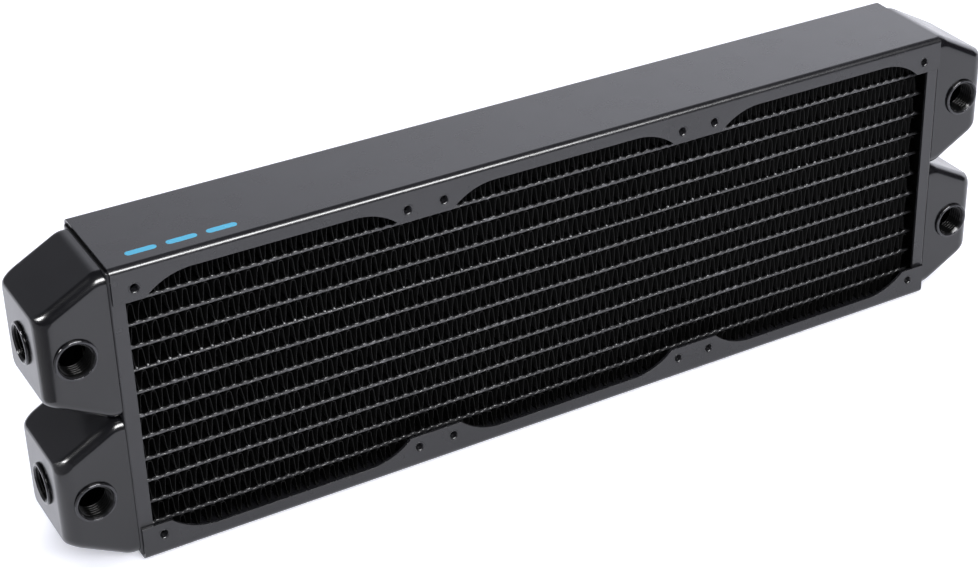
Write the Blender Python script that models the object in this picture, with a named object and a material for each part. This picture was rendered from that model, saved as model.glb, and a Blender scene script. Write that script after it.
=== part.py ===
"""Triple-fan liquid cooling radiator with two separate water circuits.

Metres, +Z up. X runs along the radiator, the front faces -Y and the rear faces +Y.
The origin is under the middle of the radiator, on the surface it stands on.
"""
import math

import bmesh
import bpy
from mathutils import Vector

# ---------------------------------------------------------------- driving dimensions
FAN_COUNT = 3
FAN_PITCH = 0.120            # one fan frame beside the next
SCREW_SPACING = 0.105        # screw square of a 120 mm fan
PANEL_OVERHANG = 0.0006      # side panels run this far past the outer fan frames

DEPTH = 0.045                # front flange face to rear flange face
HEIGHT = 0.123               # underside to top
SHEET = 0.0012               # side panel sheet
FOLD_RADIUS = 0.0020         # outer radius of the side panel folds

FLANGE_STRIP = 0.0065        # narrow part of a flange, beside a fan opening
FLANGE_TAB = 0.0140          # wide part of a flange, at the fan screws
TAB_PAST_SCREW = 0.0034      # a tab's edge runs this far past its outer screw
OPENING_CORNER_RADIUS = 0.0255
SCREW_HOLE_RADIUS = 0.0016

TUBE_COUNT = 12
TUBE_THICKNESS = 0.0015
TUBE_PITCH = 0.00945
CIRCUIT_GAP = 0.00055        # the two circuits lie this much further apart than other tubes
TUBE_WALL = 0.00035
TUBE_INTO_TANK = 0.0020      # tube ends stand out of the header plate
CORE_RECESS = 0.008          # tubes lie this far behind the flange faces

FIN_THICKNESS = 0.0005
FIN_FOLDS = 30               # full waves along one fin row
FIN_HALF_LENGTH = 0.1745
FIN_EDGE_SETBACK = 0.0002    # fins stop just behind the tube noses

HEADER_SHEET = 0.0015
HEADER_RIM_SHEET = 0.0012
HEADER_INNER_X = 0.1758      # rim edge, towards the core
HEADER_OUTER_X = 0.1815      # face that the tanks are soldered to
HEADER_EDGE_RADIUS = 0.0010

TANK_END_X = 0.2076
TANK_FRONT_SETBACK = 0.0018  # tank faces behind the flange faces
TANK_CENTRE_HEIGHT = 0.030   # tank and port centres above and below mid-height
TANK_HALF_AT_HEADER = 0.0297
TANK_HALF_AT_END = 0.0173
TANK_COLLAR = 0.0035         # straight part of a tank, next to the header plate
TANK_WALL = 0.0020
TANK_FILLET = 0.0050

PORT_FROM_END = 0.0121       # front and rear port centres, in from the tank's end face
PORT_LIP_RADIUS = 0.0080
PORT_LIP_PROUD = 0.0012
PORT_NECK_RADIUS = 0.0074
PORT_BORE_RADIUS = 0.0058    # inside the crests of a G1/4 thread
PORT_MOUTH_RADIUS = 0.0066   # outside the roots of a G1/4 thread
PORT_MOUTH_DEPTH = 0.0010
PORT_LENGTH = 0.0085         # lip face to inner end

GAP = 0.0003                 # between neighbouring solids

# ---------------------------------------------------------------- worked-out dimensions
PANEL_HALF_LENGTH = FAN_COUNT * FAN_PITCH / 2 + PANEL_OVERHANG
MID_HEIGHT = HEIGHT / 2
SCREW_ROW = SCREW_SPACING / 2
FAN_CENTRES = [(index - (FAN_COUNT - 1) / 2) * FAN_PITCH for index in range(FAN_COUNT)]

INNER_HALF_HEIGHT = MID_HEIGHT - SHEET
TUBE_HALF_DEPTH = DEPTH / 2 - CORE_RECESS
TUBE_HALF_LENGTH = HEADER_OUTER_X + TUBE_INTO_TANK

HEADER_HALF_DEPTH = DEPTH / 2 - SHEET - GAP
HEADER_HALF_HEIGHT = INNER_HALF_HEIGHT - GAP

TANK_START_X = HEADER_OUTER_X + GAP
TANK_HALF_DEPTH = DEPTH / 2 - TANK_FRONT_SETBACK
TANK_SLOPE_X = TANK_START_X + TANK_COLLAR
TANK_SLOPE = (TANK_HALF_AT_HEADER - TANK_HALF_AT_END) / (TANK_END_X - TANK_SLOPE_X)
PORT_X = TANK_END_X - PORT_FROM_END

# how finely round shapes are divided
PORT_SEGMENTS = 16
SCREW_SEGMENTS = 12
ARC_STEPS = 6
FOLD_STEPS = 4
HEADER_EDGE_STEPS = 2
TANK_FILLET_STEPS = 3

CUTTER_REACH = 0.015         # how far a drill goes to each side of its face
SAME_PLACE = 1e-6            # points closer than this are one point


# ---------------------------------------------------------------- helpers
def clear_scene():
    for item in list(bpy.data.objects):
        bpy.data.objects.remove(item, do_unlink=True)


def paint(name, colour, roughness, metallic):
    material = bpy.data.materials.new(name)
    material.use_nodes = True
    shader = material.node_tree.nodes["Principled BSDF"]
    shader.inputs["Base Color"].default_value = (*colour, 1.0)
    shader.inputs["Roughness"].default_value = roughness
    shader.inputs["Metallic"].default_value = metallic
    return material


def place(name, bm, material=None):
    """Turn a bmesh into a named object in the scene."""
    bmesh.ops.recalc_face_normals(bm, faces=bm.faces)
    mesh = bpy.data.meshes.new(name)
    bm.to_mesh(mesh)
    bm.free()
    item = bpy.data.objects.new(name, mesh)
    bpy.context.scene.collection.objects.link(item)
    if material is not None:
        mesh.materials.append(material)
    return item


def smooth(item, angle_degrees=35):
    item.data.shade_smooth()
    item.data.set_sharp_from_angle(angle=math.radians(angle_degrees))


def arc(centre, radius, start_degrees, end_degrees, steps=ARC_STEPS):
    """Points along an arc in a plane, ends included."""
    points = []
    for step in range(steps + 1):
        angle = math.radians(start_degrees + (end_degrees - start_degrees) * step / steps)
        points.append((centre[0] + radius * math.cos(angle), centre[1] + radius * math.sin(angle)))
    return points


def prism(outline, start, end, to_point):
    """Extrude a closed outline; to_point(u, v, w) gives the 3-D point at distance w."""
    bm = bmesh.new()
    ring = [bm.verts.new(to_point(u, v, start)) for u, v in outline]
    face = bm.faces.new(ring)
    extruded = bmesh.ops.extrude_face_region(bm, geom=[face])
    shift = Vector(to_point(0, 0, end)) - Vector(to_point(0, 0, start))
    moved = [part for part in extruded["geom"] if isinstance(part, bmesh.types.BMVert)]
    bmesh.ops.translate(bm, vec=shift, verts=moved)
    return bm


def add_box(bm, low, high):
    """Add a box between two corners to a bmesh."""
    made = bmesh.ops.create_cube(bm, size=1.0)
    low = Vector(low)
    high = Vector(high)
    size = high - low
    for vert in made["verts"]:
        vert.co = Vector(low[axis] + (vert.co[axis] + 0.5) * size[axis] for axis in range(3))


def cut(item, cutter):
    """Cut one closed shape out of another with an exact Boolean."""
    cutter.hide_render = True
    cutter.display_type = "WIRE"
    modifier = item.modifiers.new("cut_" + cutter.name, "BOOLEAN")
    modifier.operation = "DIFFERENCE"
    modifier.solver = "EXACT"
    modifier.object = cutter


# ---------------------------------------------------------------- side panels
def panel_profile():
    """The folded sheet's section in (y, distance from mid-height), as an upright channel."""
    half = DEPTH / 2
    top = MID_HEIGHT
    tab_edge = MID_HEIGHT - FLANGE_TAB
    fold_y = half - FOLD_RADIUS
    fold_z = top - FOLD_RADIUS
    inner = FOLD_RADIUS - SHEET
    outline = [(-half, tab_edge)]
    outline += arc((-fold_y, fold_z), FOLD_RADIUS, 180, 90, FOLD_STEPS)
    outline += arc((fold_y, fold_z), FOLD_RADIUS, 90, 0, FOLD_STEPS)
    outline += [(half, tab_edge), (half - SHEET, tab_edge)]
    outline += arc((fold_y, fold_z), inner, 0, 90, FOLD_STEPS)
    outline += arc((-fold_y, fold_z), inner, 90, 180, FOLD_STEPS)
    outline += [(-half + SHEET, tab_edge)]
    return outline


def opening_outline(centre_x):
    """One fan opening's part in a flange, in (x, distance from mid-height)."""
    strip_edge = MID_HEIGHT - FLANGE_STRIP
    tab_edge = MID_HEIGHT - FLANGE_TAB
    corner_z = strip_edge - OPENING_CORNER_RADIUS
    half_width = SCREW_SPACING / 2 - TAB_PAST_SCREW
    rise = tab_edge - corner_z
    reach = math.sqrt(OPENING_CORNER_RADIUS ** 2 - rise ** 2)
    corner_x = half_width - reach
    edge_angle = math.degrees(math.atan2(rise, reach))
    below = tab_edge - FLANGE_STRIP
    outline = [(half_width, below)]
    outline += arc((corner_x, corner_z), OPENING_CORNER_RADIUS, edge_angle, 90)
    outline += arc((-corner_x, corner_z), OPENING_CORNER_RADIUS, 90, 180 - edge_angle)
    outline += [(-half_width, below)]
    return [(centre_x + x, z) for x, z in outline]


def side_panel(name, side, material):
    """A folded side panel; side is +1 at the top and -1 at the bottom."""
    def along_x(y, z, x):
        return (x, y, MID_HEIGHT + side * z)

    def along_y(x, z, y):
        return (x, y, MID_HEIGHT + side * z)

    panel = place(name, prism(panel_profile(), -PANEL_HALF_LENGTH, PANEL_HALF_LENGTH, along_x), material)
    for number, centre_x in enumerate(FAN_CENTRES, start=1):
        outline = opening_outline(centre_x)
        cut(panel, place(f"{name}_opening_{number}_cutter", prism(outline, -DEPTH, DEPTH, along_y)))
        for end, offset in (("left", -SCREW_ROW), ("right", SCREW_ROW)):
            hole = arc((centre_x + offset, SCREW_ROW), SCREW_HOLE_RADIUS, 0, 360, SCREW_SEGMENTS)[:-1]
            cut(panel, place(f"{name}_{end}_screw_{number}_cutter", prism(hole, -DEPTH, DEPTH, along_y)))
    smooth(panel)


# ---------------------------------------------------------------- core
def tube_height(number):
    """Height of a tube's middle above the ground; tube 1 is the lowest."""
    steps_from_middle = number - (TUBE_COUNT + 1) / 2
    circuit_shift = math.copysign(CIRCUIT_GAP / 2, steps_from_middle)
    return MID_HEIGHT + steps_from_middle * TUBE_PITCH + circuit_shift


def tube_outline(half_depth, half_thickness):
    """A flat tube's round-nosed section in (y, z)."""
    straight = half_depth - half_thickness
    outline = arc((straight, 0), half_thickness, -90, 90, FOLD_STEPS)
    outline += arc((-straight, 0), half_thickness, 90, 270, FOLD_STEPS)
    return outline


def flat_tube(name, height, material):
    """One hollow flat tube, open at both ends."""
    outer = tube_outline(TUBE_HALF_DEPTH, TUBE_THICKNESS / 2)
    inner = tube_outline(TUBE_HALF_DEPTH - TUBE_WALL, TUBE_THICKNESS / 2 - TUBE_WALL)
    bm = bmesh.new()
    rings = []
    for outline in (outer, inner):
        for x in (-TUBE_HALF_LENGTH, TUBE_HALF_LENGTH):
            rings.append([bm.verts.new((x, y, z)) for y, z in outline])
    for first, second in ((0, 1), (2, 3), (0, 2), (1, 3)):
        count = len(outer)
        for index in range(count):
            after = (index + 1) % count
            bm.faces.new((rings[first][index], rings[first][after],
                          rings[second][after], rings[second][index]))
    tube = place(name, bm, material)
    tube.location = (0, 0, height)
    smooth(tube)


def fin_row(name, low, high, material):
    """One corrugated fin strip that folds up and down between two heights."""
    half_depth = TUBE_HALF_DEPTH - FIN_EDGE_SETBACK
    folds = 2 * FIN_FOLDS
    step = 2 * FIN_HALF_LENGTH / folds
    rise = high - low
    lean = math.hypot(step, rise)
    half_thickness = FIN_THICKNESS / 2 * lean / step
    bm = bmesh.new()
    sections = []
    for fold in range(folds + 1):
        x = -FIN_HALF_LENGTH + fold * step
        middle = low + half_thickness if fold % 2 == 0 else high - half_thickness
        corners = ((-half_depth, -half_thickness), (half_depth, -half_thickness),
                   (half_depth, half_thickness), (-half_depth, half_thickness))
        sections.append([bm.verts.new((x, y, middle + z)) for y, z in corners])
    for section, after in zip(sections, sections[1:]):
        for index in range(4):
            other = (index + 1) % 4
            bm.faces.new((section[index], section[other], after[other], after[index]))
    bm.faces.new(sections[0])
    bm.faces.new(sections[-1])
    place(name, bm, material)


def core(tube_material, fin_material):
    for number in range(1, TUBE_COUNT + 1):
        flat_tube(f"flat_tube_{number:02d}", tube_height(number), tube_material)
    low = MID_HEIGHT - INNER_HALF_HEIGHT
    for row in range(1, TUBE_COUNT + 1):
        high = tube_height(row) - TUBE_THICKNESS / 2
        fin_row(f"fin_row_{row:02d}", low + GAP, high - GAP, fin_material)
        low = tube_height(row) + TUBE_THICKNESS / 2
    fin_row(f"fin_row_{TUBE_COUNT + 1:02d}", low + GAP, MID_HEIGHT + INNER_HALF_HEIGHT - GAP, fin_material)


# ---------------------------------------------------------------- header plates
def header_plate(name, side, material):
    """A shallow tray with its rim towards the core and one slot for each tube."""
    def span(low_x, high_x):
        return sorted((side * low_x, side * high_x))

    outer_low, outer_high = span(HEADER_INNER_X, HEADER_OUTER_X)
    low_z = MID_HEIGHT - HEADER_HALF_HEIGHT
    high_z = MID_HEIGHT + HEADER_HALF_HEIGHT
    bm = bmesh.new()
    add_box(bm, (outer_low, -HEADER_HALF_DEPTH, low_z), (outer_high, HEADER_HALF_DEPTH, high_z))
    bm.edges.ensure_lookup_table()
    outer_x = side * HEADER_OUTER_X
    rounded = [edge for edge in bm.edges
               if all(abs(vert.co.x - outer_x) < SAME_PLACE for vert in edge.verts)]
    bmesh.ops.bevel(bm, geom=rounded, offset=HEADER_EDGE_RADIUS, segments=HEADER_EDGE_STEPS,
                    profile=0.5, affect="EDGES")
    plate = place(name, bm, material)

    pocket_low, pocket_high = span(HEADER_INNER_X - SHEET, HEADER_OUTER_X - HEADER_SHEET)
    rim = HEADER_RIM_SHEET
    bm = bmesh.new()
    add_box(bm, (pocket_low, -HEADER_HALF_DEPTH + rim, low_z + rim),
            (pocket_high, HEADER_HALF_DEPTH - rim, high_z - rim))
    cut(plate, place(f"{name}_pocket_cutter", bm))

    slot_low, slot_high = span(HEADER_OUTER_X - 2 * HEADER_SHEET, HEADER_OUTER_X + SHEET)
    bm = bmesh.new()
    slot_half_depth = TUBE_HALF_DEPTH + GAP
    slot_half_height = TUBE_THICKNESS / 2 + GAP
    for number in range(1, TUBE_COUNT + 1):
        height = tube_height(number)
        add_box(bm, (slot_low, -slot_half_depth, height - slot_half_height),
                (slot_high, slot_half_depth, height + slot_half_height))
    cut(plate, place(f"{name}_slot_cutter", bm))
    smooth(plate)


# ---------------------------------------------------------------- end tanks
def tank_half_height(x):
    return TANK_HALF_AT_HEADER - max(0, x - TANK_SLOPE_X) * TANK_SLOPE


def rounded_section(half_depth, half_height, corner):
    """Corners of a rectangle in y and z, each rounded with the same radius."""
    outline = []
    for y_side, z_side, start in ((1, 1, 0), (-1, 1, 90), (-1, -1, 180), (1, -1, 270)):
        centre = (y_side * (half_depth - corner), z_side * (half_height - corner))
        outline += arc(centre, corner, start, start + 90, TANK_FILLET_STEPS)
    return outline


def tank_body(side, centre_height):
    """The outside of a tank: its long edges and its upright end edges are rounded."""
    sections = [(x, TANK_FILLET) for x in (TANK_START_X, TANK_SLOPE_X)]
    for step in range(TANK_FILLET_STEPS + 1):
        angle = math.pi / 2 * step / TANK_FILLET_STEPS
        sections.append((TANK_END_X - TANK_FILLET * (1 - math.sin(angle)), TANK_FILLET * math.cos(angle)))
    bm = bmesh.new()
    rings = []
    for x, corner in sections:
        half_depth = TANK_HALF_DEPTH - TANK_FILLET + corner
        outline = rounded_section(half_depth, tank_half_height(x), corner)
        rings.append([bm.verts.new((side * x, y, centre_height + z)) for y, z in outline])
    skin(bm, rings)
    return bm


def tank_inside(side, centre_height):
    """The chamber of a tank: flat walls that follow its outside."""
    inset = TANK_WALL * math.hypot(1, TANK_SLOPE)
    half_depth = TANK_HALF_DEPTH - TANK_WALL
    bm = bmesh.new()
    rings = []
    for x in (TANK_START_X - SHEET, TANK_SLOPE_X, TANK_END_X - TANK_WALL):
        half_height = tank_half_height(x) - inset
        corners = ((half_depth, half_height), (-half_depth, half_height),
                   (-half_depth, -half_height), (half_depth, -half_height))
        rings.append([bm.verts.new((side * x, y, centre_height + z)) for y, z in corners])
    skin(bm, rings)
    return bm


def skin(bm, rings):
    """Close a body round its rings of points, the first and the last one included."""
    for ring, after in zip(rings, rings[1:]):
        for index in range(len(ring)):
            other = (index + 1) % len(ring)
            bm.faces.new((ring[index], ring[other], after[other], after[index]))
    bm.faces.new(rings[0])
    bm.faces.new(rings[-1])
    bmesh.ops.remove_doubles(bm, verts=bm.verts, dist=SAME_PLACE)


def end_tank(name, side, centre_height, material):
    """A hollow tank with sloping top and bottom, open towards its header plate."""
    tank = place(name, tank_body(side, centre_height), material)
    cut(tank, place(f"{name}_inside_cutter", tank_inside(side, centre_height)))

    hole = PORT_NECK_RADIUS + GAP
    for port, position, turn in port_places(side, centre_height):
        bm = bmesh.new()
        bmesh.ops.create_cone(bm, cap_ends=True, segments=PORT_SEGMENTS, radius1=hole, radius2=hole,
                              depth=2 * CUTTER_REACH)
        cutter = place(f"{name}_{port}_hole_cutter", bm)
        cutter.location = position
        cutter.rotation_euler = turn
        cut(tank, cutter)
    smooth(tank)


def port_places(side, centre_height):
    """Name, tank-face centre and outward turn of each port on one tank."""
    quarter = math.pi / 2
    return [
        ("front_port", (side * PORT_X, -TANK_HALF_DEPTH, centre_height), (quarter, 0, 0)),
        ("rear_port", (side * PORT_X, TANK_HALF_DEPTH, centre_height), (-quarter, 0, 0)),
        ("end_port", (side * TANK_END_X, 0, centre_height), (0, side * quarter, 0)),
    ]


def port_bush(name, position, turn, material):
    """A threaded bush: a lip on the tank's face and a neck through its wall.

    The local +Z axis points out of the tank, and z = 0 is the tank's face.
    """
    face = PORT_LIP_PROUD
    back = face - PORT_LENGTH
    profile = [
        (PORT_MOUTH_RADIUS, face),
        (PORT_LIP_RADIUS, face),
        (PORT_LIP_RADIUS, GAP),
        (PORT_NECK_RADIUS, GAP),
        (PORT_NECK_RADIUS, back),
        (PORT_BORE_RADIUS, back),
        (PORT_BORE_RADIUS, face - PORT_MOUTH_DEPTH),
    ]
    bm = bmesh.new()
    ring = [bm.verts.new((radius, 0, z)) for radius, z in profile]
    edges = [bm.edges.new((ring[index - 1], ring[index])) for index in range(len(ring))]
    bmesh.ops.spin(bm, geom=ring + edges, cent=(0, 0, 0), axis=(0, 0, 1), angle=2 * math.pi,
                   steps=PORT_SEGMENTS, use_duplicate=False)
    bmesh.ops.remove_doubles(bm, verts=bm.verts, dist=SAME_PLACE)
    bush = place(name, bm, material)
    bush.location = position
    bush.rotation_euler = turn
    smooth(bush)


def tanks(tank_material, port_material):
    for column, side in (("left", -1), ("right", 1)):
        for level, up in (("lower", -1), ("upper", 1)):
            centre_height = MID_HEIGHT + up * TANK_CENTRE_HEIGHT
            end_tank(f"{level}_{column}_tank", side, centre_height, tank_material)
            for port, position, turn in port_places(side, centre_height):
                port_bush(f"{level}_{column}_{port}", position, turn, port_material)


# ---------------------------------------------------------------- the radiator
def build():
    clear_scene()
    panel_paint = paint("panel_paint", (0.030, 0.030, 0.034), 0.42, 0.0)
    header_paint = paint("header_paint", (0.030, 0.030, 0.034), 0.45, 0.0)
    tank_paint = paint("tank_paint", (0.024, 0.024, 0.028), 0.25, 0.0)
    port_paint = paint("port_paint", (0.020, 0.020, 0.023), 0.22, 0.3)
    tube_paint = paint("tube_paint", (0.018, 0.018, 0.018), 0.40, 0.0)
    fin_paint = paint("fin_paint", (0.006, 0.006, 0.006), 0.60, 0.0)
    side_panel("top_side_panel", 1, panel_paint)
    side_panel("bottom_side_panel", -1, panel_paint)
    header_plate("left_header_plate", -1, header_paint)
    header_plate("right_header_plate", 1, header_paint)
    tanks(tank_paint, port_paint)
    core(tube_paint, fin_paint)


build()
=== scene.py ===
import math
import random

import bmesh
import bpy
import numpy as np
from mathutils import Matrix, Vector


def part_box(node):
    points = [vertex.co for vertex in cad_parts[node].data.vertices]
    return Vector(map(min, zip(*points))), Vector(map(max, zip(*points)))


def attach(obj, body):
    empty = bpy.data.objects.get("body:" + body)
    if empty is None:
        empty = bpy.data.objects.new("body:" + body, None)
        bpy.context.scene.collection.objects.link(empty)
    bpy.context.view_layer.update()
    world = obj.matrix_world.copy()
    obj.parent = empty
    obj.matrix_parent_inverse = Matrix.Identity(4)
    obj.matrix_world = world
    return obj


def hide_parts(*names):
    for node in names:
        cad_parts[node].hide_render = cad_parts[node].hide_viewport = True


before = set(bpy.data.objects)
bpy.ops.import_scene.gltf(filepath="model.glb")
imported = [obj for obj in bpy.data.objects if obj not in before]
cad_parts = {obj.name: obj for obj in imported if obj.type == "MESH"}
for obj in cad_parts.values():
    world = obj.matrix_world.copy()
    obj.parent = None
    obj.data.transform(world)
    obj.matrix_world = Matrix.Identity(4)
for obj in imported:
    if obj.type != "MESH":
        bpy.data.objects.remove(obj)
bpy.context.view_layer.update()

# ---------------------------------------------------------------- sizes, in metres
FANS = (-1, 0, 1)              # the fans' places, in fan pitches from the middle
FAN_PITCH = 0.120
SCREW_SPACING = 0.105

GAP = 0.0003                   # between soldered parts
SHEET = 0.0012                 # side panel sheet
SHEET_EDGE = 0.00022           # rounding of a cut sheet edge
FOLD_RADIUS = 0.0025           # outside of a panel's folds
FLANGE_STRIP = 0.0065          # narrow part of a flange
TAB_PAST_SCREW = 0.0034        # a tab's edge past its outer screw
OPENING_CORNER_RADIUS = 0.0255

SCREW_HOLE_RADIUS = 0.00142    # M3 thread, at its roots
SCREW_THREAD_PITCH = 0.0005    # M3
SCREW_THREAD_HEIGHT = 0.00013
SCREW_RIM_RADIUS = 0.0023      # where the pressed rim of a screw hole meets the flat
SCREW_RIM_DEPTH = 0.0008       # how deep the rounding of the rim goes
SCREW_RIM_LENGTH = 0.0032      # from the flange's face to the rim's inner end
SCREW_RIM_CHAMFER = 0.0001     # at the rim's inner end

TUBE_COUNT = 12
TUBE_WALL = 0.00035
TUBE_UNSHADED_NOSE = 0.0007     # the tube's paint colour shows this far back from its front edge; behind it is painted shade
TUBE_NOSE_SHARE = 0.50         # a tube's nose has this share of its thickness
TUBE_SHOULDER = 0.0026         # the tube narrows towards its nose over this depth
TUBE_STEP = 0.00035            # between two sections along a tube

FIN_ROW_COUNT = TUBE_COUNT + 1
FIN_PITCH = 0.00407            # one full wave of a fin strip
FIN_SHEET = 0.00014
FIN_ARCH_RADIUS = 0.00088      # upper turns of a fin strip
FIN_FOOT_RADIUS = 0.00060      # lower turns, which stand in solder
FIN_END_ROOM = 0.0009          # left free at each end of a strip
FIN_DRIFT = 0.00009            # how much neighbouring turns stray together
FIN_JITTER = 0.00006           # how much one turn strays on its own
FIN_GIVE = 0.00015             # the most that a turn stays short of its tube
FIN_LEAN = 0.00006             # how much a turn's tip leans to one side
FIN_BOW = 0.00007              # how much the sheet bows between two turns

BEADED_TUBE = 8                # its solder stands in separate drops
DROP_HEIGHT = 0.00125          # the tallest solder drop on it
BEAD_HEIGHT = 0.00120          # the tallest solder bead on another tube
BEAD_HEIGHT_UNDER = 0.00015    # the same below a tube
SOLDER_FADE = 0.002            # solder dies away over this much before the fins' ends

HEADER_SHEET = 0.0015
HEADER_RIM_SHEET = 0.0012
HEADER_BEND_RADIUS = 0.0009
HEADER_EDGE = 0.00028          # rounding of its cut edges

TANK_WALL = 0.0020
TANK_FILLET = 0.0050           # rounding of the long edges
TANK_END_EDGE = 0.0022         # rounding of the edges above and below the end face
TANK_UPRIGHT_EDGE = 0.0062     # rounding of the upright edges beside the end face
TANK_CORNER_AT_END = 0.0022    # the long edges' rounding where they reach the end face
TANK_HALF_AT_END = 0.0173      # half height where the slope would meet the end face
TANK_COLLAR = 0.0031           # the level part beside the header plate
TANK_COLLAR_SOFTENING = 0.0019  # the bend behind it is softened over this much on each side
TANK_REACH = 0.9 * GAP         # a shell comes this much nearer the header plate than its node
DRILL_LENGTH = 0.026           # half of it reaches inwards: through one wall, short of the next

THREAD_PITCH = 0.001337        # G1/4
THREAD_ROOT_RADIUS = 0.00658
THREAD_CREST_RADIUS = 0.00572
PORT_KINDS = ("front_port", "rear_port", "end_port")
PORT_NECK_RADIUS = 0.0074
PORT_LIP_ROUNDING = 0.00065
PORT_MOUTH_RADIUS = 0.00685
PORT_MOUTH_ROUNDING = 0.00025

TOUCHING = 0.000001            # places nearer than this are the same
SHARP_DEGREES = 50             # edges sharper than this are rounded, or stay sharp

CAMERA_PLACE = Vector((-0.3746, -0.6568, 0.5029))
CAMERA_AIM = Vector((0.0314, 0.0, 0.0675))
CAMERA_LENS = 81.0
CAMERA_SHIFT = (-0.12, -0.06)

LIGHTS_AIM = (0.0, 0.0, 0.06)
KEY_POWER = 44.0
GLINT_POWER = 17.0
FRONT_FILL_POWER = 12.3
OVERHEAD_POWER = 78.0
WALL_BRIGHTNESS = 2.19
WALL_SHADE = 0.28              # the same wall's brightness at its dark end
ROOM_GLOW = 0.03
FLOOR_GLOW = 0.46
FLOOR_HALF_SIZE = 7.0
FLOOR_DROP = 0.0002            # the floor is this much below the radiator
CARD_LOW = (-0.272, -0.42, 0.001)
CARD_HIGH = (-0.270, 0.03, 0.115)


# ---------------------------------------------------------------- sizes taken from the frame
panel_low, panel_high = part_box("top_side_panel")
HALF_LENGTH = panel_high.x
HALF_DEPTH = panel_high.y
TOP = panel_high.z
MIDDLE = TOP / 2
FLANGE_TAB = panel_high.z - panel_low.z

_, fin_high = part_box("fin_row_01")
FIN_HALF_DEPTH = fin_high.y
_, plate_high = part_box("right_header_plate")
INNER_FIN_END = plate_high.x - HEADER_SHEET - GAP


# ---------------------------------------------------------------- shape helpers
def arc(centre, radius, start_degrees, end_degrees, steps):
    """Points along an arc in a plane, ends included."""
    points = []
    for step in range(steps + 1):
        angle = math.radians(start_degrees + (end_degrees - start_degrees) * step / steps)
        points.append((centre[0] + radius * math.cos(angle), centre[1] + radius * math.sin(angle)))
    return points


def make_object(name, bm, material=None, sharp_degrees=None):
    """Put a bmesh into the scene, shaded smooth where a limit for sharp edges is given."""
    mesh = bpy.data.meshes.new(name)
    bm.to_mesh(mesh)
    bm.free()
    item = bpy.data.objects.new(name, mesh)
    bpy.context.scene.collection.objects.link(item)
    if material is not None:
        mesh.materials.append(material)
    if sharp_degrees is not None:
        shade_smooth(item, sharp_degrees)
    return item


def shade_smooth(item, sharp_degrees):
    item.data.shade_smooth()
    item.data.set_sharp_from_angle(angle=math.radians(sharp_degrees))


def closed_grid(name, points, material=None, wrap_u=True, sharp_degrees=None):
    """A closed shape through an array of points, shaped (u count, v count, 3), that wraps round in v."""
    rows, columns = points.shape[:2]
    index = np.arange(rows * columns).reshape(rows, columns)
    if wrap_u:
        index = np.vstack([index, index[:1]])
    index = np.hstack([index, index[:, :1]])
    faces = np.stack([index[:-1, :-1], index[1:, :-1], index[1:, 1:], index[:-1, 1:]], axis=-1)
    mesh = bpy.data.meshes.new(name)
    mesh.from_pydata(points.reshape(-1, 3).tolist(), [], faces.reshape(-1, 4).tolist())
    bm = bmesh.new()
    bm.from_mesh(mesh)
    bpy.data.meshes.remove(mesh)
    if not wrap_u:
        bmesh.ops.holes_fill(bm, edges=[edge for edge in bm.edges if edge.is_boundary])
    return make_object(name, outward(bm), material, sharp_degrees)


def outward(bm):
    bmesh.ops.recalc_face_normals(bm, faces=bm.faces)
    return bm


def prism(outline, start, end, to_point):
    """Extrude a closed outline; to_point(u, v, w) gives the 3-D point at distance w."""
    bm = bmesh.new()
    ring = [bm.verts.new(to_point(u, v, start)) for u, v in outline]
    face = bm.faces.new(ring)
    extruded = bmesh.ops.extrude_face_region(bm, geom=[face])
    shift = Vector(to_point(0, 0, end)) - Vector(to_point(0, 0, start))
    moved = [part for part in extruded["geom"] if isinstance(part, bmesh.types.BMVert)]
    bmesh.ops.translate(bm, vec=shift, verts=moved)
    return outward(bm)


def add_box(bm, low, high):
    made = bmesh.ops.create_cube(bm, size=1.0)
    for vert in made["verts"]:
        vert.co = Vector(low[axis] + (vert.co[axis] + 0.5) * (high[axis] - low[axis])
                         for axis in range(3))


def cut_away(item, cutters):
    """Cut closed shapes out of an item, and remove them."""
    for cutter in cutters:
        modifier = item.modifiers.new("cut", "BOOLEAN")
        modifier.operation = "DIFFERENCE"
        modifier.solver = "EXACT"
        modifier.object = cutter
    apply_modifiers(item)
    for cutter in cutters:
        bpy.data.objects.remove(cutter, do_unlink=True)


def apply_modifiers(item):
    graph = bpy.context.evaluated_depsgraph_get()
    mesh = bpy.data.meshes.new_from_object(item.evaluated_get(graph))
    item.modifiers.clear()
    item.data = mesh


def keep_flats_flat(item):
    """Let the large flat faces decide the shading beside them."""
    weighted = item.modifiers.new("flat_faces_stay_flat", "WEIGHTED_NORMAL")
    weighted.keep_sharp = True


def round_edges(item, width):
    """Round the sharp edges of a finished shape and shade it smooth."""
    modifier = item.modifiers.new("rounded_edges", "BEVEL")
    modifier.width = width
    modifier.segments = 3
    modifier.limit_method = "ANGLE"
    modifier.angle_limit = math.radians(SHARP_DEGREES)
    modifier.use_clamp_overlap = True
    apply_modifiers(item)
    shade_smooth(item, SHARP_DEGREES)
    keep_flats_flat(item)


def join_shapes(item, others):
    """Add other items' meshes to an item's own, and remove them."""
    bm = bmesh.new()
    bm.from_mesh(item.data)
    for other in others:
        bm.from_mesh(other.data)
        bpy.data.objects.remove(other, do_unlink=True)
    bm.to_mesh(item.data)
    bm.free()


def finish_piece(item, slot, *nodes):
    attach(item, "root")
    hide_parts(*nodes)


# ---------------------------------------------------------------- materials
def grey(level, blue=None):
    """A grey, or one with a little more blue."""
    return (level, level, level if blue is None else blue)


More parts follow.
